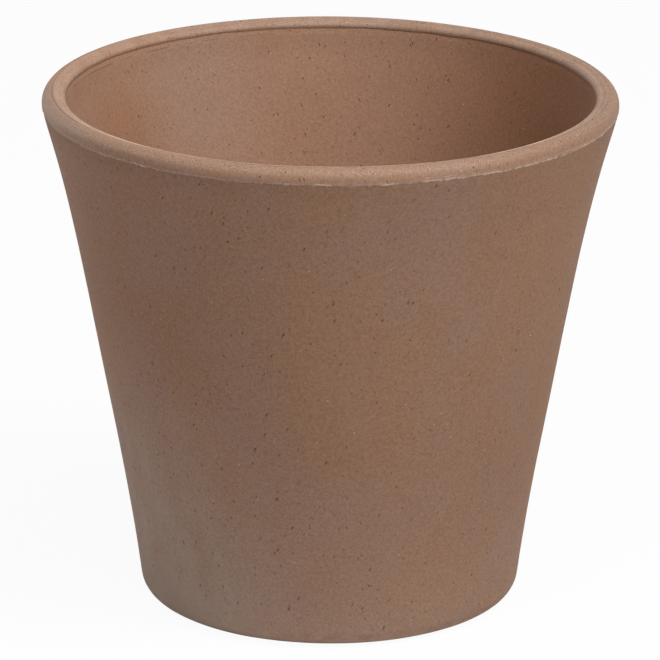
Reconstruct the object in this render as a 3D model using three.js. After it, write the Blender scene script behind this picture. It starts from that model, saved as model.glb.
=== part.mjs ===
// A round terracotta plant pot: one piece of fired clay with a flared wall, a rolled lip, a flat
// base and a drain hole. Millimetres, +Z up, the origin is the centre of the base on the ground.
import * as THREE from 'three';

// Overall sizes.
const RIM_DIAMETER = 240; // outside of the lip, the widest place
const HEIGHT = 217.5; // ground to the top of the lip
const BASE_DIAMETER = 156.5; // the wall's line carried down to the ground

// The wall's outer face leans out by these amounts for each millimetre of height. Its slope grows
// from the first value over the height of the belly, stays even, and grows again in the flare.
const BASE_SLOPE = 0.127;
const TOP_SLOPE = 0.35;
const BELLY_HEIGHT = 76;
const FLARE_HEIGHT = 48;

// Clay thickness, the wall's measured level and the floor's upright.
const WALL = 9;
const FLOOR = 11;

// The lip stands level on top of the wall, rounded on both sides, a little lower inside.
const LIP_WIDTH = 10.4;
const LIP_OUTER_ROUND = 5.6;
const LIP_INNER_ROUND = 3;
const LIP_FALL = 0.8;
const LIP_TUCK = THREE.MathUtils.degToRad(35); // the inner rounding goes on this far under the lip

// Roundings at the foot and inside at the floor, and the hole that lets water out.
const FOOT_ROUND = 8.6;
const CORNER_ROUND = 12;
const DRAIN_DIAMETER = 20;
const DRAIN_ROUND = 1.5;

// Facets: around the pot, and along each stretch of its outline.
const SEGMENTS = 72;
const WALL_STEPS = 11;
const ARC_STEPS = 5;
const EDGE_STEPS = 2;

const rimRadius = RIM_DIAMETER / 2;
const outerRound = Math.min(LIP_OUTER_ROUND, LIP_WIDTH - LIP_INNER_ROUND);
const flareAngle = Math.atan(TOP_SLOPE);

// The lip's outer rounding runs on smoothly into the wall, where the wall's outer face ends.
const wallTop = new THREE.Vector2(
  rimRadius - outerRound * (1 - Math.cos(flareAngle)),
  HEIGHT - outerRound * (1 + Math.sin(flareAngle)),
);

const straightSlope =
  (wallTop.x - BASE_DIAMETER / 2 - (BASE_SLOPE * BELLY_HEIGHT + TOP_SLOPE * FLARE_HEIGHT) / 2) /
  (wallTop.y - (BELLY_HEIGHT + FLARE_HEIGHT) / 2);

function slopeAt(height) {
  const belly = Math.max(0, 1 - height / BELLY_HEIGHT);
  const flare = Math.max(0, 1 - (wallTop.y - height) / FLARE_HEIGHT);
  return straightSlope + (BASE_SLOPE - straightSlope) * belly + (TOP_SLOPE - straightSlope) * flare;
}

function outerRadius(height) {
  const belly = Math.min(height, BELLY_HEIGHT);
  const flare = Math.max(0, height - wallTop.y + FLARE_HEIGHT);
  return (
    BASE_DIAMETER / 2 +
    straightSlope * height +
    (BASE_SLOPE - straightSlope) * (belly - belly ** 2 / (2 * BELLY_HEIGHT)) +
    ((TOP_SLOPE - straightSlope) * flare ** 2) / (2 * FLARE_HEIGHT)
  );
}

function innerRadius(height) {
  return outerRadius(height) - WALL;
}

function arc(centre, radius, from, to, steps) {
  return Array.from({ length: steps + 1 }, (_, i) => {
    const angle = from + ((to - from) * i) / steps;
    return new THREE.Vector2(
      centre.x + radius * Math.cos(angle),
      centre.y + radius * Math.sin(angle),
    );
  });
}

// The rounding between a level floor and the foot of a wall, from the floor up to the wall.
function cornerArc(radiusAt, floor, round) {
  const lean = Math.atan(slopeAt(floor + round));
  const touch = floor + round * (1 - Math.sin(lean));
  const centre = new THREE.Vector2(radiusAt(touch) - round * Math.cos(lean), floor + round);
  return arc(centre, round, -Math.PI / 2, -lean, ARC_STEPS);
}

// Points on a wall above one height and up to another, closer together towards the flare.
function wallPoints(radiusAt, from, to) {
  return Array.from({ length: WALL_STEPS }, (_, i) => {
    const share = Math.sin(((Math.PI / 2) * (i + 1)) / WALL_STEPS);
    const height = from + (to - from) * share;
    return new THREE.Vector2(radiusAt(height), height);
  });
}

function potOutline() {
  const foot = cornerArc(outerRadius, 0, FOOT_ROUND);
  const corner = cornerArc(innerRadius, FLOOR, CORNER_ROUND);

  const outside = wallPoints(outerRadius, foot.at(-1).y, wallTop.y);
  const outerLip = arc(
    new THREE.Vector2(rimRadius - outerRound, HEIGHT - outerRound),
    outerRound, -flareAngle, Math.PI / 2, ARC_STEPS + 1,
  );
  const innerLip = arc(
    new THREE.Vector2(rimRadius - LIP_WIDTH + LIP_INNER_ROUND, HEIGHT - LIP_FALL - LIP_INNER_ROUND),
    LIP_INNER_ROUND, Math.PI / 2, Math.PI + LIP_TUCK, ARC_STEPS,
  );
  const inside = wallPoints(innerRadius, corner.at(-1).y, wallTop.y).reverse();

  const drain = DRAIN_DIAMETER / 2;
  const drainBottom = arc(
    new THREE.Vector2(drain + DRAIN_ROUND, DRAIN_ROUND),
    DRAIN_ROUND, -Math.PI, -Math.PI / 2, EDGE_STEPS,
  );
  const drainTop = arc(
    new THREE.Vector2(drain + DRAIN_ROUND, FLOOR - DRAIN_ROUND),
    DRAIN_ROUND, Math.PI / 2, Math.PI, EDGE_STEPS,
  );

  return [
    ...drainBottom,
    ...foot,
    ...outside,
    ...outerLip.slice(1),
    ...innerLip,
    ...inside,
    ...corner.reverse(),
    ...drainTop,
    drainBottom[0].clone(),
  ];
}

function makePot() {
  const clay = new THREE.MeshStandardMaterial({ color: 0x967563, roughness: 0.85, metalness: 0 });
  const geometry = new THREE.LatheGeometry(potOutline(), SEGMENTS).rotateX(Math.PI / 2);
  const pot = new THREE.Mesh(geometry, clay);
  pot.name = 'pot';
  return pot;
}

const group = new THREE.Group();
group.add(makePot());

export default group;
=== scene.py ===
import math

import bpy
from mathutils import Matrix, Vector


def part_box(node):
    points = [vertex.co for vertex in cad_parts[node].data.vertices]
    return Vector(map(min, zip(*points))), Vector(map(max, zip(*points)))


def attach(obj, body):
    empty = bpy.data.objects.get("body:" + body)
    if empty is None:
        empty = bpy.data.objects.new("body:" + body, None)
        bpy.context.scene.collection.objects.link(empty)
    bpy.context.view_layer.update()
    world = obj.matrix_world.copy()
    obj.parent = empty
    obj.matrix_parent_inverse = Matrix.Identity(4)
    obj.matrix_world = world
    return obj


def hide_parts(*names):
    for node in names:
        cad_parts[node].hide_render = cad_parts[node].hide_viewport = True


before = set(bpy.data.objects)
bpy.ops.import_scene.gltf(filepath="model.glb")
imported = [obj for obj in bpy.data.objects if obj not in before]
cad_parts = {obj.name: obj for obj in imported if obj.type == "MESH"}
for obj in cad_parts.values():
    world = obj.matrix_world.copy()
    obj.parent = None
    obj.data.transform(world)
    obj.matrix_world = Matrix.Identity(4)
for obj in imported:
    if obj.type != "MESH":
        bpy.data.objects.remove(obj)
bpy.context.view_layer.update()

# A terracotta plant pot: one piece of fired clay, turned from its outline, with a rolled lip, the
# ragged flash that the mould leaves under the lip, and a pitted, mottled, unglazed surface.

# ---------------------------------------------------------------------------------------------
# Sizes of the pot, in metres. The rim and the height come from the frame.

MM = 0.001
POT_CORNER = Vector(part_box("pot")[1])  # the highest corner of its box
RIM_RADIUS = POT_CORNER.x - 0.65 * MM  # fettled to just inside its nominal size
HEIGHT = POT_CORNER.z

BASE_RADIUS = 78.4 * MM  # the wall's line carried down to the ground
BASE_SLOPE = 0.122  # how far the wall leans out for each metre of height
STRAIGHT_SLOPE = 0.186
TOP_SLOPE = 0.328
INNER_TOP_SLOPE = 0.27  # the wall thickens a little towards the lip
BELLY_HEIGHT = 66 * MM
FLARE_HEIGHT = 86 * MM
WALL = 9 * MM
FLOOR = 11 * MM

LIP_WIDTH = 9.8 * MM
LIP_OUTER_ROUND = 5.1 * MM
LIP_INNER_ROUND = 2.6 * MM
LIP_FALL = 0.8 * MM  # the inner edge stands this much lower than the crown
LIP_TUCK = math.radians(2)  # how far the inner rounding goes on past upright
LIP_TURN = math.radians(14)  # and the outer rounding past its widest

FOOT_ROUND = 9.0 * MM
CORNER_ROUND = 12 * MM
DRAIN_RADIUS = 10 * MM
DRAIN_ROUND = 1.5 * MM

# Marks of the mould: the torn edge where each side of the lip ends, and a groove in the crown.
SEAM_STEP = 0.3 * MM  # the lip overhangs the wall by this much
SEAM_DROP = 0.35 * MM  # over this height
SEAM_EDGE_REACH = 0.4 * MM  # the torn edge itself
SEAM_BAND_REACH = 1.2 * MM  # and the band that wanders up and down with it
GROOVE_RADIUS = RIM_RADIUS - 4.2 * MM
GROOVE_DEPTH = 0.14 * MM
GROOVE_WIDTH = 0.5 * MM
CREVICE_OUT = 0.12 * MM  # the nick between the inner rounding and the wall
CREVICE_DOWN = 0.25 * MM

RING_STEPS = 384  # faces around the pot
WALL_STEP = 4 * MM  # and up its walls
LEVEL_STEP = 8 * MM  # along its floor
CORNER_STEP = 1.2 * MM
FINE_STEP = 0.5 * MM
LIP_STEP = 0.3 * MM
FINE_REACH = 6 * MM  # how far under the lip the walls are stepped finely
MERGE_REACH = 0.02 * MM

RIM_TILT = -0.0036  # radians
RIM_TILT_REACH = 150 * MM

# ---------------------------------------------------------------------------------------------
# The camera, the lamps and the floor.

CAMERA_AIM = Vector((0, 0, 0.1128))
CAMERA_DISTANCE = 2.6935
CAMERA_ELEVATION = 17.85  # degrees
CAMERA_ROLL = math.radians(0.15)
CAMERA_LENS = 351.4  # millimetres
CAMERA_SENSOR = 36

LAMP_DISTANCE = 2.6
LAMP_SIZE = 1.1
WORLD_LEVEL = 0.0  # the lamps give all the light
FLOOR_RADIUS = 4.0
FLOOR_WHITE = 0.95  # the share of the floor's look that is plain white, without shadow


def srgb(red, green, blue):
    """A colour given in 8-bit display values, as the linear values that a shader takes."""
    def linear(value):
        value /= 255
        return value / 12.92 if value <= 0.04045 else ((value + 0.055) / 1.055) ** 2.4
    return (linear(red), linear(green), linear(blue), 1.0)


CLAY_BROWN = srgb(144, 106, 80)
CLAY_MAUVE = srgb(143, 110, 92)
CLAY_INSIDE = srgb(165, 125, 101)
CLAY_ORANGE = srgb(158, 111, 80)
CLAY_DARK = srgb(80, 54, 42)
# Rubbed clay, which also serves as a painted highlight on the lip.
CLAY_RUBBED_AND_HIGHLIGHT = srgb(166, 131, 108)
# Dust, also used for a paler patch of painted light inside the pot.
DUST_AND_PAINTED_LIGHT = srgb(164, 143, 130)
CREAM = srgb(220, 190, 166)
LILAC = srgb(176, 154, 148)
SOOT = srgb(84, 76, 76)

# Where the ground and the fire have marked this pot, and where light is painted on its inside.
DUSTY_SPOT = (-0.085, -0.035, 0.025)
FLAMED_SPOT = (-0.088, 0.055, 0.18)
# Painted light: the middle of a paler patch on the inner wall, where the key light falls.
PAINTED_LIGHT_SPOT = (-0.055, 0.09, 0.19)
FLAMED_LIP_SPOT = (-0.1, 0.05, 0.215)

# How high or deep the marks on the surface are.
GRAIN_RELIEF = 0.06 * MM
GRIT_RELIEF = 0.14 * MM
SPECK_RELIEF = 0.1 * MM
PIT_RELIEF = 0.3 * MM


# ---------------------------------------------------------------------------------------------
# The outline: half of the pot's section, as points (radius, height).

LIP_OUTER_CENTRE = (RIM_RADIUS - LIP_OUTER_ROUND, HEIGHT - LIP_OUTER_ROUND)
LIP_INNER_CENTRE = (
    RIM_RADIUS - LIP_WIDTH + LIP_INNER_ROUND,
    HEIGHT - LIP_FALL - LIP_INNER_ROUND,
)
SEAM_HEIGHT = LIP_OUTER_CENTRE[1] - LIP_OUTER_ROUND * math.sin(LIP_TURN)
INNER_SEAM_HEIGHT = LIP_INNER_CENTRE[1] - LIP_INNER_ROUND * math.sin(LIP_TUCK) - 0.6 * MM


def wall_radius(height, base_radius, top_slope):
    """A wall's face: straight in the middle, drawn in to the foot and flared to the lip."""
    belly = min(height, BELLY_HEIGHT)
    flare = max(0, height - SEAM_HEIGHT + FLARE_HEIGHT)
    return (
        base_radius
        + STRAIGHT_SLOPE * height
        + (BASE_SLOPE - STRAIGHT_SLOPE) * (belly - belly ** 2 / (2 * BELLY_HEIGHT))
        + (top_slope - STRAIGHT_SLOPE) * flare ** 3 / (3 * FLARE_HEIGHT ** 2)
    )


def outer_radius(height):
    return wall_radius(height, BASE_RADIUS, TOP_SLOPE)


def inner_radius(height):
    return wall_radius(height, BASE_RADIUS - WALL, INNER_TOP_SLOPE)


def arc(centre, radius, start, end, step=FINE_STEP):
    """Points round a centre from one angle to another."""
    count = max(2, math.ceil(radius * abs(end - start) / step))
    angles = [start + (end - start) * i / count for i in range(count + 1)]
    return [(centre[0] + radius * math.cos(a), centre[1] + radius * math.sin(a)) for a in angles]


def corner(radius_at, floor, round_radius):
    """The rounding between a level floor and a wall, from the floor up to the wall."""
    rise = radius_at(floor + 2 * round_radius) - radius_at(floor)
    lean = math.atan(rise / (2 * round_radius))
    touch = floor + round_radius * (1 - math.sin(lean))
    centre = (radius_at(touch) - round_radius * math.cos(lean), floor + round_radius)
    return arc(centre, round_radius, -math.pi / 2, -lean, CORNER_STEP)


def wall(radius_at, start, end):
    """Points up a wall, with rings closer together in the last stretch under the lip."""
    fine_from = end - FINE_REACH
    coarse = math.ceil((fine_from - start) / WALL_STEP)
    fine = math.ceil((end - fine_from) / FINE_STEP)
    heights = [start + (fine_from - start) * (i + 1) / coarse for i in range(coarse)]
    heights += [fine_from + (end - fine_from) * (i + 1) / fine for i in range(fine)]
    return [(radius_at(height), height) for height in heights]


def level(start, end, height, step=LEVEL_STEP):
    """Points along a level stretch, without its two ends."""
    count = math.ceil(abs(end - start) / step)
    return [(start + (end - start) * i / count, height) for i in range(1, count)]


def groove(points):
    """The points, with those near the crown's groove lowered into it."""
    def depth(radius):
        return GROOVE_DEPTH * math.exp(-((radius - GROOVE_RADIUS) / (GROOVE_WIDTH / 2)) ** 2)
    return [(radius, height - depth(radius)) for radius, height in points]


def crown():
    """The lip's top, falling from its outer rounding to its inner one."""
    start = LIP_OUTER_CENTRE[0]
    end = LIP_INNER_CENTRE[0]
    points = []
    for radius, _ in level(start, end, HEIGHT, LIP_STEP):
        share = (start - radius) / (start - end)
        points.append((radius, HEIGHT - LIP_FALL * (3 * share ** 2 - 2 * share ** 3)))
    return points


def pot_outline():
    """The whole section, from the drain hole out, up, over the lip and down the inside."""
    foot = corner(outer_radius, 0.0, FOOT_ROUND)
    inside_corner = corner(inner_radius, FLOOR, CORNER_ROUND)
    drain_low = arc((DRAIN_RADIUS + DRAIN_ROUND, DRAIN_ROUND), DRAIN_ROUND, -math.pi, -math.pi / 2)
    drain_high = arc(
        (DRAIN_RADIUS + DRAIN_ROUND, FLOOR - DRAIN_ROUND), DRAIN_ROUND, math.pi / 2, math.pi
    )
    outer_lip = arc(LIP_OUTER_CENTRE, LIP_OUTER_ROUND, -LIP_TURN, math.pi / 2, LIP_STEP)
    inner_lip = arc(LIP_INNER_CENTRE, LIP_INNER_ROUND, math.pi / 2, math.pi + LIP_TUCK, 0.4 * MM)
    crevice = (inner_lip[-1][0] + CREVICE_OUT, inner_lip[-1][1] - CREVICE_DOWN)
    outside_top = SEAM_HEIGHT - SEAM_DROP
    seam_radius = LIP_OUTER_CENTRE[0] + LIP_OUTER_ROUND * math.cos(LIP_TURN)
    blend = seam_radius - SEAM_STEP - outer_radius(outside_top)

    def outside_face(height):
        return outer_radius(height) + blend * math.exp((height - outside_top) / (3 * MM))

    outside = wall(outside_face, foot[-1][1], outside_top)
    inside = wall(inner_radius, inside_corner[-1][1], INNER_SEAM_HEIGHT)
    return [
        *drain_low,
        *level(drain_low[-1][0], foot[0][0], 0.0),
        *foot,
        *outside,
        *groove(outer_lip),
        *crown(),
        *inner_lip,
        crevice,
        *reversed(inside),
        *reversed(inside_corner),
        *level(inside_corner[0][0], drain_high[0][0], FLOOR),
        *drain_high,
        *[(DRAIN_RADIUS, FLOOR * share) for share in (0.7, 0.5, 0.3)],
    ]


# ---------------------------------------------------------------------------------------------
# Modelling.

def deselect_all():
    bpy.ops.object.select_all(action="DESELECT")


def select_vertices(piece, test):
    """Selects the piece's vertices whose place passes the test, in edit mode, and nothing else."""
    bpy.ops.object.mode_set(mode="EDIT")
    bpy.ops.mesh.select_mode(type="VERT")
    bpy.ops.mesh.select_all(action="DESELECT")
    bpy.ops.object.mode_set(mode="OBJECT")
    for vertex in piece.data.vertices:
        vertex.select = test(vertex.co)
    bpy.ops.object.mode_set(mode="EDIT")


def draw_outline(name, points):
    """An object whose mesh is one closed chain of edges through the points, in the XZ plane."""
    bpy.ops.mesh.primitive_plane_add(size=MM)
    piece = bpy.context.object
    piece.name = name
    bpy.ops.object.mode_set(mode="EDIT")
    bpy.ops.mesh.select_all(action="SELECT")
    bpy.ops.mesh.merge(type="CENTER")
    bpy.ops.transform.translate(value=(points[0][0], 0, points[0][1]))
    for (radius, height), (next_radius, next_height) in zip(points, points[1:]):
        step = (next_radius - radius, 0, next_height - height)
        bpy.ops.mesh.extrude_vertices_move(TRANSFORM_OT_translate={"value": step})
    bpy.ops.object.mode_set(mode="OBJECT")
    ends = (0, len(piece.data.vertices) - 1)
    for vertex in piece.data.vertices:
        vertex.select = vertex.index in ends
    bpy.ops.object.mode_set(mode="EDIT")
    bpy.ops.mesh.edge_face_add()
    bpy.ops.object.mode_set(mode="OBJECT")
    return piece


def turn(piece):
    """Turns the outline once round the upright axis, as on a wheel, into a closed body."""
    screw = piece.modifiers.new("turn", "SCREW")
    screw.steps = screw.render_steps = RING_STEPS
    screw.use_merge_vertices = True
    screw.merge_threshold = MERGE_REACH
    bpy.ops.object.modifier_apply(modifier=screw.name)
    bpy.ops.object.mode_set(mode="EDIT")
    bpy.ops.mesh.select_all(action="SELECT")
    bpy.ops.mesh.remove_doubles(threshold=MERGE_REACH)
    bpy.ops.mesh.normals_make_consistent(inside=False)
    bpy.ops.object.mode_set(mode="OBJECT")


def group_vertices(piece, name, test):
    """Puts the vertices that pass the test in a vertex group, for the modifiers."""
    group = piece.vertex_groups.new(name=name)
    select_vertices(piece, test)
    piece.vertex_groups.active = group
    bpy.ops.object.vertex_group_assign()
    bpy.ops.object.mode_set(mode="OBJECT")


def mask_vertices(piece, name, test):
    """Gives the vertices that pass the test a mesh attribute of 1, for the material."""
    bpy.ops.geometry.attribute_add(name=name, domain="POINT", data_type="FLOAT")
    select_vertices(piece, test)
    bpy.ops.mesh.attribute_set(value_float=1.0)
    bpy.ops.object.mode_set(mode="OBJECT")


def roughen(piece, name, size, depth, group="", direction="NORMAL"):
    """Pushes the surface in and out by a noise of the given size, within the named group."""
    noise = bpy.data.textures.new(name, "CLOUDS")
    noise.noise_scale = size
    push = piece.modifiers.new(name, "DISPLACE")
    push.texture = noise
    push.texture_coords = "LOCAL"
    push.direction = direction
    push.strength = depth
    push.mid_level = 0.5
    push.vertex_group = group
    bpy.ops.object.modifier_apply(modifier=push.name)


def tilt_rim(piece):
    """Lets the rim lean a hair to one side, as pots do that dry on an uneven board."""
    select_vertices(piece, lambda place: place.z > SEAM_HEIGHT - 1 * MM)
    bpy.ops.transform.rotate(
        value=RIM_TILT, orient_axis="Y", center_override=(0, 0, HEIGHT),
        use_proportional_edit=True, proportional_edit_falloff="SMOOTH",
        proportional_size=RIM_TILT_REACH,
    )
    bpy.ops.object.mode_set(mode="OBJECT")


def at_outer_seam(place, reach):
    return abs(place.z - SEAM_HEIGHT) < reach and place.xy.length > RIM_RADIUS - 2 * MM


def at_inner_seam(place, reach):
    return abs(place.z - INNER_SEAM_HEIGHT) < reach and place.xy.length < RIM_RADIUS - 8 * MM


def in_hollow(place):
    """Whether a place is on the inside face, between the floor and the inner seam."""
    between = FLOOR - 1 * MM < place.z < INNER_SEAM_HEIGHT + 0.1 * MM
    return between and place.xy.length < outer_radius(place.z) - WALL / 2


def make_pot():
    deselect_all()
    pot = draw_outline("pot_body", pot_outline())
    turn(pot)
    group_vertices(pot, "seam_edge", lambda place: at_outer_seam(place, SEAM_EDGE_REACH))
    group_vertices(pot, "seam_band", lambda place: at_outer_seam(place, SEAM_BAND_REACH))
    group_vertices(pot, "inner_seam_band", lambda place: at_inner_seam(place, SEAM_BAND_REACH))
    mask_vertices(pot, "outer_seam_mask", lambda place: at_outer_seam(place, SEAM_EDGE_REACH))
    mask_vertices(pot, "inside_mask", in_hollow)
    roughen(pot, "seam_wander", size=11 * MM, depth=1.8 * MM, group="seam_band", direction="Z")
    roughen(pot, "seam_tears", size=4 * MM, depth=0.7 * MM, group="seam_edge")
    roughen(
        pot, "inner_seam_wander", size=12 * MM, depth=0.9 * MM, group="inner_seam_band", direction="Z"
    )
    roughen(pot, "slow_unevenness", size=70 * MM, depth=0.3 * MM)
    roughen(pot, "hand_unevenness", size=22 * MM, depth=0.1 * MM)
    tilt_rim(pot)
    deselect_all()
    pot.select_set(True)
    bpy.context.view_layer.objects.active = pot
    bpy.ops.object.shade_smooth()
    return pot


# ---------------------------------------------------------------------------------------------
# Materials.

class Graph:
    """Adds nodes to a node tree. Each method but feed returns the new node's output."""

    def __init__(self, tree):
        self.tree = tree

    def add(self, kind, inputs=(), output=0, **settings):
        node = self.tree.nodes.new(kind)
        for name, value in settings.items():
            setattr(node, name, value)
        for key, value in dict(inputs).items():
            self.feed(node.inputs[key], value)
        return node.outputs[output]

    def feed(self, socket, value):
        if isinstance(value, bpy.types.NodeSocket):
            self.tree.links.new(value, socket)
        else:
            socket.default_value = value

    def math(self, operation, *values):
        return self.add("ShaderNodeMath", enumerate(values), operation=operation)

    def vector(self, operation, *values, output=0):
        return self.add("ShaderNodeVectorMath", enumerate(values), output, operation=operation)

    def ramp(self, value, low, high, to_low=0.0, to_high=1.0):
        """Maps low..high to to_low..to_high along a smooth step."""
        inputs = {
            "Value": value, "From Min": low, "From Max": high, "To Min": to_low, "To Max": to_high,
        }
        return self.add("ShaderNodeMapRange", inputs, interpolation_type="SMOOTHSTEP")

    def mix(self, share, first, second):
        """A colour between two others."""
        inputs = {0: share, 6: first, 7: second}
        return self.add("ShaderNodeMix", inputs, 2, data_type="RGBA")

    def noise(self, place, scale, detail=2.0, roughness=0.5):
        """Clouds, scale to the metre, with their finer detail."""
        inputs = {"Vector": place, "Scale": scale, "Detail": detail, "Roughness": roughness}
        return self.add("ShaderNodeTexNoise", inputs)

    def mapping(self, place, scale=(1, 1, 1), turn=(0, 0, 0), shift=(0, 0, 0)):
        inputs = {"Vector": place, "Location": shift, "Rotation": turn, "Scale": scale}
        return self.add("ShaderNodeMapping", inputs)


def effect(name, inputs, outputs):
    """An empty node group with float or vector inputs and float outputs, and its graph."""
    tree = bpy.data.node_groups.new(name, "ShaderNodeTree")
    for label, kind, default in inputs:
        socket = tree.interface.new_socket(label, in_out="INPUT", socket_type=kind)
        if default is not None:
            socket.default_value = default
    for label in outputs:
        tree.interface.new_socket(label, in_out="OUTPUT", socket_type="NodeSocketFloat")
    source = tree.nodes.new("NodeGroupInput")
    result = tree.nodes.new("NodeGroupOutput")
    return tree, Graph(tree), source.outputs, result.inputs


def make_speckle():
    """Small scattered spots: one in some of the cells of a given size, each of a random reach."""
    tree, graph, given, result = effect("speckle", (
        ("Place", "NodeSocketVector", None),
        ("Size", "NodeSocketFloat", 0.003),
        ("Share", "NodeSocketFloat", 0.3),
        ("Reach", "NodeSocketFloat", 0.3),
    ), ("Mask",))
    cells = tree.nodes.new("ShaderNodeTexVoronoi")
    graph.feed(cells.inputs["Vector"], given["Place"])
    graph.feed(cells.inputs["Scale"], graph.math("DIVIDE", 1.0, given["Size"]))
    split = tree.nodes.new("ShaderNodeSeparateColor")
    graph.feed(split.inputs[0], cells.outputs["Color"])
    present = graph.math("LESS_THAN", split.outputs[0], given["Share"])
    reach = graph.math("MULTIPLY", given["Reach"], graph.ramp(split.outputs[1], 0, 1, 0.4, 1.0))
    near = graph.math("SUBTRACT", 1.0, graph.math("DIVIDE", cells.outputs["Distance"], reach))
    strength = graph.ramp(split.outputs[2], 0, 1, 0.35, 1.0)
    mask = graph.math("MULTIPLY", graph.ramp(near, 0.0, 0.6), present)
    graph.feed(result["Mask"], graph.math("MULTIPLY", mask, strength))
    return tree


class ClayGraph(Graph):
    """The clay's nodes, which know where on the pot a point is. Masks run from 0 to 1."""

    def __init__(self, tree):
        super().__init__(tree)
        self.speckle_tree = make_speckle()
        self.place = self.add("ShaderNodeTexCoord", output="Object")
        split = tree.nodes.new("ShaderNodeSeparateXYZ")
        self.feed(split.inputs[0], self.place)
        self.side, self.back, self.up = (split.outputs[axis] for axis in "XYZ")
        level_place = self.vector("MULTIPLY", self.place, (1, 1, 0))
        self.radius = self.vector("LENGTH", level_place, output="Value")
        self.inside = self.attribute("inside_mask")
        self.outer_seam = self.attribute("outer_seam_mask")
        self.on_lip = self.times(
            self.ramp(self.up, SEAM_HEIGHT - 0.5 * MM, SEAM_HEIGHT + 0.3 * MM),
            self.math("SUBTRACT", 1.0, self.inside),
        )
        self.on_crown = self.ramp(self.up, HEIGHT - 3.6 * MM, HEIGHT - 1.6 * MM)
        off_seam = self.math("ABSOLUTE", self.math("SUBTRACT", self.up, SEAM_HEIGHT))
        self.by_seam = self.times(
            self.ramp(off_seam, 0.3 * MM, 1.5 * MM, 1.0, 0.0),
            self.ramp(self.radius, RIM_RADIUS - 4 * MM, RIM_RADIUS - 2 * MM),
        )
        self.dusty = self.near(DUSTY_SPOT, 0.01, 0.12)

    def attribute(self, name):
        return self.add("ShaderNodeAttribute", output="Fac", attribute_name=name)

    def times(self, *shares):
        product = shares[0]
        for share in shares[1:]:
            product = self.math("MULTIPLY", product, share)
        return product

    def largest(self, first, *others):
        for other in others:
            first = self.math("MAXIMUM", first, other)
        return first

    def near(self, spot, full, faded, strength=1.0):
        """The strength within one distance of a spot, falling to 0 at the other."""
        distance = self.vector("DISTANCE", self.place, spot, output="Value")
        return self.ramp(distance, full, faded, strength, 0.0)

    def moved(self, shift, scale=(1, 1, 1)):
        """Coordinates that give a pattern its own draw, and its own stretch."""
        return self.mapping(self.place, scale, shift=shift)

    def leaning(self, turn, squeeze, shift=(0, 0, 0)):
        """Coordinates that draw a pattern out along a leaning line."""
        turned = self.mapping(self.place, turn=turn, shift=shift)
        return self.mapping(turned, scale=(1, 1, squeeze))

    def speckles(self, place, size, share, reach):
        """Scattered spots: the cells' size, the share with a spot, and how far it reaches in them."""
        node = self.tree.nodes.new("ShaderNodeGroup")
        node.node_tree = self.speckle_tree
        inputs = {"Place": place, "Size": size, "Share": share, "Reach": reach}
        for name, value in inputs.items():
            self.feed(node.inputs[name], value)
        return node.outputs["Mask"]


def outside_tone(clay):
    """Brown clay with mauve patches, browner on the right."""
    patches = clay.noise(clay.moved((0.3, 0, 0), (1, 1, 0.65)), 36.0, 2.0, 0.45)
    patches = clay.math("SUBTRACT", patches, clay.ramp(clay.side, 0.03, 0.09, 0.0, 0.1))
    return clay.mix(clay.ramp(patches, 0.34, 0.66, 0.15, 0.85), CLAY_BROWN, CLAY_MAUVE)


def inside_tone(clay):
    """Paler clay, orange where the flame was, darker orange on the right as painted shade, and a
    paler painted pool of light at the back left.
    """
    warm = clay.noise(clay.moved((0, 0.5, 0), (1, 1, 0.8)), 24.0, 2.0, 0.5)
    flamed = clay.near(FLAMED_SPOT, 0.005, 0.04)
    orange = clay.math("ADD", clay.ramp(warm, 0.48, 0.78, 0.0, 0.35), clay.times(flamed, 0.7))
    # Painted shade: the inner right wall, which faces away from the key light, made darker and more
    # orange.
    orange = clay.math("ADD", orange, clay.ramp(clay.side, 0.02, 0.09, 0.0, 0.8))
    colour = clay.mix(orange, CLAY_INSIDE, CLAY_ORANGE)
    # Painted light: a paler patch on the inner back left, where the key light falls.
    return clay.mix(clay.times(clay.near(PAINTED_LIGHT_SPOT, 0.01, 0.05), 0.28), colour, DUST_AND_PAINTED_LIGHT)


def lay_shade_and_dust(clay, colour):
    """Slow darker clouds, dust low on the wall, and painted shade: a darker band under the lip."""
    shade = clay.noise(clay.moved((0.1, 0.2, 0.7), (1, 1, 0.7)), 17.0, 3.0, 0.55)
    colour = clay.mix(clay.ramp(shade, 0.3, 0.7, 0.07, 0.0), colour, CLAY_DARK)
    clouds = clay.noise(clay.moved((0.4, 0, 0), (1, 1, 0.5)), 55.0, 3.0, 0.6)
    low = clay.ramp(clay.up, 4 * MM, 60 * MM, 1.0, 0.0)
    dust = clay.largest(clay.times(clay.dusty, 0.75), clay.times(low, 0.22))
    dust = clay.times(dust, clay.ramp(clouds, 0.2, 0.7, 0.6, 1.2))
    colour = clay.mix(dust, colour, DUST_AND_PAINTED_LIGHT)
    # Painted shade: the wall darkened in a band under the overhanging lip, as in its shadow.
    painted_shade_under_lip = clay.times(
        clay.ramp(clay.up, SEAM_HEIGHT - 11 * MM, SEAM_HEIGHT - 1.5 * MM),
        clay.ramp(clay.up, SEAM_HEIGHT - 0.5 * MM, SEAM_HEIGHT + 0.5 * MM, 1.0, 0.0),
    )
    return clay.mix(clay.times(painted_shade_under_lip, 0.10), colour, CLAY_DARK)


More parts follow.
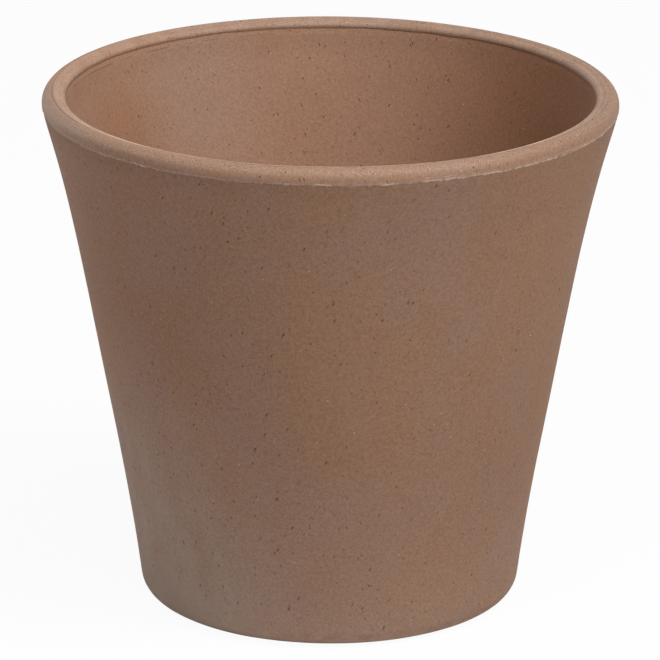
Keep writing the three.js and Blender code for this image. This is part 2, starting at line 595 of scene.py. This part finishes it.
def rub_and_highlight_lip(clay, colour):
    """The lip: paler, most of all on its crown, partly rubbed and partly a painted highlight; orange
    at the left and dark at the right.
    """
    # Painted highlight in part: the whole lip paler, its crown more so, most at the front and left,
    # on top of real rubbing.
    colour = clay.mix(clay.times(clay.on_lip, 0.12), colour, CLAY_RUBBED_AND_HIGHLIGHT)
    rubbed = clay.times(
        clay.ramp(clay.side, -0.1, 0.1, 0.6, 0.15), clay.ramp(clay.back, 0, 0.08, 1.0, 0.4)
    )
    colour = clay.mix(clay.times(clay.on_crown, rubbed), colour, CLAY_RUBBED_AND_HIGHLIGHT)
    flamed = clay.near(FLAMED_LIP_SPOT, 0.02, 0.09, 0.5)
    colour = clay.mix(clay.times(clay.on_lip, flamed), colour, CLAY_ORANGE)
    dark = clay.ramp(clay.side, 0.04, 0.1, 0.0, 0.14)
    return clay.mix(clay.times(clay.on_lip, dark), colour, CLAY_DARK)


def draw_lip_rings(clay, colour):
    """The cream ring along the lip's inner edge, partly pale clay and partly a painted highlight
    strongest at the front, and the sooty groove in its crown.
    """
    # Partly a painted highlight: the inner edge's rounding, lit from above, painted cream, most at
    # the front.
    inner_ring_and_highlight = clay.times(
        clay.ramp(clay.radius, GROOVE_RADIUS - 1.0 * MM, GROOVE_RADIUS - 0.5 * MM, 1.0, 0.0),
        clay.ramp(clay.up, INNER_SEAM_HEIGHT + 1.0 * MM, INNER_SEAM_HEIGHT + 2.0 * MM),
    )
    broken = clay.ramp(clay.noise(clay.place, 70.0, 2.0), 0.35, 0.6, 0.4, 1.0)
    frontal = clay.ramp(clay.back, -0.095, -0.03, 0.85, 0.2)
    colour = clay.mix(clay.times(inner_ring_and_highlight, broken, frontal), colour, CREAM)
    off_groove = clay.math("ABSOLUTE", clay.math("SUBTRACT", clay.radius, GROOVE_RADIUS))
    in_groove = clay.ramp(off_groove, 0.1 * MM, 0.45 * MM, 1.0, 0.0)
    at_sides = clay.largest(
        clay.ramp(clay.side, -0.07, 0.04, 1.0, 0.1), clay.ramp(clay.side, 0.085, 0.105, 0.0, 0.8)
    )
    sooty = clay.ramp(clay.noise(clay.place, 30.0, 3.0), 0.42, 0.56, 0.2, 1.0)
    soot = clay.times(in_groove, clay.on_crown, sooty, at_sides, 0.75)
    return clay.mix(soot, colour, SOOT)


def make_grain(clay):
    """Fine grain, as a height."""
    fine = clay.noise(clay.place, 1600.0, 2.0, 0.6)
    coarse = clay.noise(clay.place, 700.0, 2.0, 0.6)
    return clay.math("ADD", clay.times(fine, 0.6), clay.times(coarse, 0.4))


def make_grit(clay):
    """Sharper grit, as a height, which shows on the rubbed crown."""
    return clay.noise(clay.moved((0.2, 0.1, 0)), 2100.0, 2.0, 0.7)


def tint_grain(clay, colour, grain, grit):
    """Grain darker in its hollows and paler on its tops, everywhere, and grit on the crown."""
    dark_grain = clay.mix(0.17, colour, CLAY_DARK)
    pale_grain = clay.mix(0.1, colour, CREAM)
    colour = clay.mix(clay.ramp(grain, 0.36, 0.64), dark_grain, pale_grain)
    pale_grit = clay.times(clay.ramp(grit, 0.52, 0.66), clay.on_crown, 0.3)
    dark_grit = clay.times(clay.ramp(grit, 0.36, 0.46, 1.0, 0.0), clay.on_crown, 0.3)
    colour = clay.mix(pale_grit, colour, CREAM)
    return clay.mix(dark_grit, colour, CLAY_DARK)


def make_pits(clay):
    """Pits drawn out up the wall and leaning either way, round ones, and more on the crown."""
    one_way = clay.leaning((0.2, 0.35, 0), 0.27)
    other_way = clay.leaning((-0.3, -0.45, 0), 0.3, (0.1, 0.2, 0.3))
    small = clay.speckles(one_way, size=1.8 * MM, share=1.0, reach=0.19)
    large = clay.speckles(other_way, size=2.6 * MM, share=1.0, reach=0.16)
    round_pits = clay.speckles(clay.moved((0.3, 0.3, 0.1)), size=1.9 * MM, share=0.7, reach=0.16)
    on_crown = clay.speckles(clay.moved((0.5, 0.1, 0.1)), size=1.9 * MM, share=0.6, reach=0.24)
    return clay.largest(
        small, large, clay.times(round_pits, 0.7), clay.times(on_crown, clay.on_crown)
    )


def make_specks(clay):
    """Pale specks everywhere, chips on the lip's right side, and flakes along the outer seam."""
    specks = clay.speckles(clay.moved((0.7, 0, 0)), size=3.6 * MM, share=0.35, reach=0.12)
    chips = clay.speckles(clay.moved((0, 0.9, 0)), size=3.2 * MM, share=0.35, reach=0.16)
    chips = clay.times(chips, clay.on_lip, clay.ramp(clay.side, 0.02, 0.09, 0.15, 1.0))
    flat = clay.moved((0.2, 0.4, 0), (1, 1, 1.3))
    flakes = clay.speckles(flat, size=2.1 * MM, share=0.5, reach=0.34)
    flakes = clay.times(flakes, clay.by_seam, clay.ramp(clay.side, -0.04, 0.05, 0.35, 1.0))
    return clay.largest(specks, chips, flakes)


def tear_seams(clay, colour):
    """Torn clay along the outer seam, most at the right, and a fine dark line inside."""
    torn = clay.noise(clay.place, 700.0, 3.0, 0.6)
    torn_where = clay.noise(clay.place, 75.0, 3.0, 0.6)
    above_seam = clay.times(
        clay.ramp(clay.up, SEAM_HEIGHT + 0.4 * MM, SEAM_HEIGHT + 1.8 * MM, 1.0, 0.0),
        clay.on_lip, clay.ramp(clay.side, -0.05, 0.01), clay.ramp(torn, 0.3, 0.6, 0.6, 1.0),
    )
    colour = clay.mix(clay.times(above_seam, 0.15), colour, CREAM)
    ragged = clay.math("ADD", clay.outer_seam, clay.math("MULTIPLY_ADD", torn, 2.4, -1.2))
    edge = clay.times(clay.ramp(ragged, 0.6, 1.0), clay.by_seam)
    tear_side = clay.ramp(clay.side, -0.06, 0.07, -0.08, 0.12)
    breaks = clay.ramp(clay.math("ADD", torn_where, tear_side), 0.46, 0.62)
    colour = clay.mix(clay.times(edge, 0.3), colour, LILAC)
    colour = clay.mix(clay.times(edge, breaks, 0.55), colour, CREAM)
    off_line = clay.math("SUBTRACT", clay.up, INNER_SEAM_HEIGHT - 1.5 * MM)
    line = clay.times(
        clay.ramp(clay.math("ABSOLUTE", off_line), 0.15 * MM, 0.5 * MM, 1.0, 0.0), clay.inside,
        clay.ramp(torn_where, 0.4, 0.55), clay.ramp(clay.side, -0.05, -0.01, 1.0, 0.0),
    )
    return clay.mix(clay.times(line, 0.4), colour, CLAY_DARK)


def wear_foot(clay, colour):
    """The foot rubbed paler where it is slid about, and short scratches in the lower wall."""
    scuffs = clay.ramp(clay.noise(clay.moved((0, 0, 0), (1, 1, 0.6)), 180.0, 3.0, 0.6), 0.3, 0.7)
    where = clay.ramp(clay.noise(clay.moved((0.15, 0, 0)), 22.0, 2.0), 0.4, 0.65, 0.1, 1.0)
    near_foot = clay.ramp(clay.up, 2 * MM, 11 * MM, 1.0, 0.0)
    colour = clay.mix(clay.times(scuffs, where, near_foot, 0.22), colour, CREAM)
    # The foot paler in its lowest few centimetres, near the front left.
    paler_foot_low_left = clay.times(clay.dusty, clay.ramp(clay.up, 0.01, 0.03, 1.0, 0.0), 0.5)
    colour = clay.mix(paler_foot_low_left, colour, DUST_AND_PAINTED_LIGHT)
    one_way = clay.leaning((0.1, 1.2, 0), 0.16, (0.3, 0, 0.2))
    other_way = clay.leaning((0.3, -0.9, 0), 0.2, (0, 0.6, 0.2))
    scratches = clay.largest(
        clay.speckles(one_way, size=2.6 * MM, share=0.5, reach=0.12),
        clay.speckles(other_way, size=3.1 * MM, share=0.5, reach=0.1),
    )
    low = clay.ramp(clay.up, 0.06, 0.14, 1.0, 0.0)
    return clay.mix(clay.times(scratches, low, 0.3), colour, CREAM)


def make_clay():
    """Unglazed fired clay: mottled, grainy and pitted, cream where its edges are torn or worn, with
    painted shade and painted highlights on the lip, under it and inside.
    """
    material = bpy.data.materials.new("fired_clay")
    material.use_nodes = True
    tree = material.node_tree
    tree.nodes.clear()
    clay = ClayGraph(tree)
    grain = make_grain(clay)
    grit = make_grit(clay)
    pits = make_pits(clay)
    specks = make_specks(clay)

    colour = clay.mix(clay.inside, outside_tone(clay), inside_tone(clay))
    colour = lay_shade_and_dust(clay, colour)
    colour = rub_and_highlight_lip(clay, colour)
    colour = draw_lip_rings(clay, colour)
    colour = tint_grain(clay, colour, grain, grit)
    pit_share = clay.math("MULTIPLY_ADD", clay.inside, -0.2, 0.8)
    colour = clay.mix(clay.times(pits, pit_share), colour, CLAY_DARK)
    colour = clay.mix(clay.times(specks, 0.8), colour, CREAM)
    colour = tear_seams(clay, colour)
    colour = wear_foot(clay, colour)

    relief = clay.math("SUBTRACT", clay.times(grain, GRAIN_RELIEF), clay.times(pits, PIT_RELIEF))
    relief = clay.math("ADD", relief, clay.times(specks, SPECK_RELIEF))
    relief = clay.math("ADD", relief, clay.times(grit, clay.on_crown, GRIT_RELIEF))
    roughness = clay.ramp(grain, 0.3, 0.7, 0.84, 0.96)
    roughness = clay.math("SUBTRACT", roughness, clay.times(clay.on_lip, 0.3))

    bump = clay.add("ShaderNodeBump", {"Strength": 1.0, "Distance": 1.0, "Height": relief})
    surface = clay.add("ShaderNodeBsdfPrincipled", {
        "Metallic": 0.0, "Specular IOR Level": 0.35,
        "Base Color": colour, "Roughness": roughness, "Normal": bump,
    })
    output = tree.nodes.new("ShaderNodeOutputMaterial")
    clay.feed(output.inputs["Surface"], surface)
    return material


def make_floor_material():
    """White board: the camera sees it white, with the pot's shadow left on it."""
    material = bpy.data.materials.new("white_board")
    material.use_nodes = True
    tree = material.node_tree
    tree.nodes.clear()
    graph = Graph(tree)
    board = graph.add("ShaderNodeBsdfDiffuse", {"Color": (0.8, 0.8, 0.8, 1)})
    white = graph.add("ShaderNodeEmission", {"Color": (1, 1, 1, 1), "Strength": 1.0})
    path = tree.nodes.new("ShaderNodeLightPath")
    seen = graph.math("MAXIMUM", path.outputs["Is Camera Ray"], path.outputs["Is Glossy Ray"])
    seen = graph.math("MAXIMUM", seen, path.outputs["Is Transmission Ray"])
    share = graph.math("MULTIPLY", seen, FLOOR_WHITE)
    surface = graph.add("ShaderNodeMixShader", {0: share, 1: board, 2: white})
    output = tree.nodes.new("ShaderNodeOutputMaterial")
    graph.feed(output.inputs["Surface"], surface)
    return material


# ---------------------------------------------------------------------------------------------
# Stage.

def direction(azimuth, elevation):
    """A unit vector; azimuth 0 is the camera's side and 90 the right of the pot."""
    azimuth, elevation = math.radians(azimuth), math.radians(elevation)
    return Vector((
        math.sin(azimuth) * math.cos(elevation),
        -math.cos(azimuth) * math.cos(elevation),
        math.sin(elevation),
    ))


def softbox(name, azimuth, elevation, level):
    """A square lamp facing the pot, which lights a facing surface to the given level."""
    lamp = bpy.data.lights.new(name, "AREA")
    lamp.shape = "SQUARE"
    lamp.size = LAMP_SIZE
    lamp.energy = level * (math.pi * LAMP_DISTANCE) ** 2
    box = bpy.data.objects.new(name, lamp)
    toward = direction(azimuth, elevation)
    box.location = CAMERA_AIM + toward * LAMP_DISTANCE
    box.rotation_euler = toward.to_track_quat("Z", "Y").to_euler()
    bpy.context.collection.objects.link(box)


def make_world():
    world = bpy.data.worlds.new("studio")
    bpy.context.scene.world = world
    world.use_nodes = True
    tree = world.node_tree
    tree.nodes.clear()
    graph = Graph(tree)
    path = tree.nodes.new("ShaderNodeLightPath")
    seen = graph.math("MAXIMUM", path.outputs["Is Camera Ray"], path.outputs["Is Glossy Ray"])
    seen = graph.math("MAXIMUM", seen, path.outputs["Is Transmission Ray"])
    lit = graph.add("ShaderNodeBackground", {"Strength": WORLD_LEVEL})
    white = graph.add("ShaderNodeBackground", {"Strength": 1.0})
    for background in (lit, white):
        background.node.inputs["Color"].default_value = (1, 1, 1, 1)
    surface = graph.add("ShaderNodeMixShader", {0: seen, 1: lit, 2: white})
    output = tree.nodes.new("ShaderNodeOutputWorld")
    graph.feed(output.inputs["Surface"], surface)


def make_camera():
    lens = bpy.data.cameras.new("camera")
    lens.lens = CAMERA_LENS
    lens.sensor_width = CAMERA_SENSOR
    lens.clip_end = 20
    camera = bpy.data.objects.new("camera", lens)
    toward = direction(0, CAMERA_ELEVATION)
    camera.location = CAMERA_AIM + toward * CAMERA_DISTANCE
    camera.rotation_euler = toward.to_track_quat("Z", "Y").to_euler()
    camera.rotation_euler.rotate_axis("Z", CAMERA_ROLL)
    bpy.context.collection.objects.link(camera)
    bpy.context.scene.camera = camera


def make_floor():
    deselect_all()
    bpy.ops.mesh.primitive_circle_add(vertices=96, radius=FLOOR_RADIUS, fill_type="NGON")
    floor = bpy.context.object
    floor.name = "floor"
    floor.data.materials.append(make_floor_material())


make_camera()
make_world()
softbox("key", azimuth=54, elevation=53, level=0.9)
softbox("top", azimuth=0, elevation=70, level=0.22)
softbox("fill", azimuth=-30, elevation=36, level=0.18)
softbox("edge", azimuth=-130, elevation=6, level=0.23)
make_floor()

pot = make_pot()
pot.data.materials.clear()
pot.data.materials.append(make_clay())
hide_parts("pot")
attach(pot, "root")

bpy.context.scene.view_settings.view_transform = "Standard"
